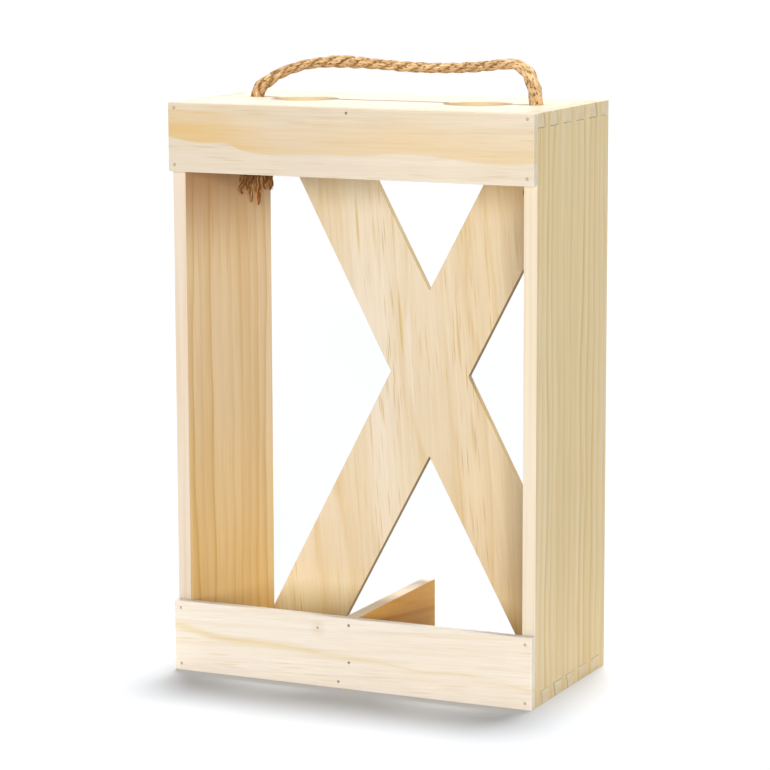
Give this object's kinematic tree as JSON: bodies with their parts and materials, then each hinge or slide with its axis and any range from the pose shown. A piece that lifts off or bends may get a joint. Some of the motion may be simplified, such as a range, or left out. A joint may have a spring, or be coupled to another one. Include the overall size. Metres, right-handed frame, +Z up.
{
  "type": "wine crate",
  "caption": "Upright pine crate for wine bottles: dovetailed box, nailed front rails, sawn cross back, low divider, neck holes in the top and a knotted rope handle.",
  "frame": {"origin": "middle of the base, midway between the rails' front and the cross panel's back", "axes": "+Z up, +X to the right seen from the front, -Y to the front, where the two rails are"},
  "size_m": [0.2, 0.1046, 0.3177],
  "materials": {
    "pine_side": "planed, unfinished golden pine",
    "pine_rail": "planed, unfinished pale pine",
    "pine_panel": "planed, unfinished pine, grain upright",
    "twisted_jute": "three-strand twisted rope with loose fibres",
    "brad_steel": "dull steel"
  },
  "bodies": {
    "crate": {"left_side": "pine_side", "right_side": "pine_side", "bottom_board": "pine_side", "top_board": "pine_side", "bottle_divider": "pine_side", "front_bottom_rail": "pine_rail", "front_top_rail": "pine_rail", "back_cross_panel": "pine_panel", "rope_knot_left": "twisted_jute", "rope_knot_right": "twisted_jute", "front_top_rail_brad_1": "brad_steel", "front_top_rail_brad_2": "brad_steel", "front_top_rail_brad_3": "brad_steel", "front_top_rail_brad_4": "brad_steel", "front_top_rail_brad_5": "brad_steel", "front_bottom_rail_brad_1": "brad_steel", "front_bottom_rail_brad_2": "brad_steel", "front_bottom_rail_brad_3": "brad_steel", "front_bottom_rail_brad_4": "brad_steel", "front_bottom_rail_brad_5": "brad_steel", "front_bottom_rail_brad_6": "brad_steel", "front_bottom_rail_brad_7": "brad_steel", "back_cross_panel_brad_1": "brad_steel", "back_cross_panel_brad_2": "brad_steel", "back_cross_panel_brad_3": "brad_steel", "back_cross_panel_brad_4": "brad_steel", "back_cross_panel_brad_5": "brad_steel", "back_cross_panel_brad_6": "brad_steel", "back_cross_panel_brad_7": "brad_steel", "back_cross_panel_brad_8": "brad_steel", "divider_brad_1": "brad_steel", "divider_brad_2": "brad_steel"},
    "handle": {"rope_handle": "twisted_jute"}
  },
  "joints": [
    {"name": "rope_handle_swing", "type": "hinge", "parent": "crate", "child": "handle", "pos_m": [0, 0.004, 0.299], "axis": [1, 0, 0], "range_deg": [-85, 85]}
  ]
}
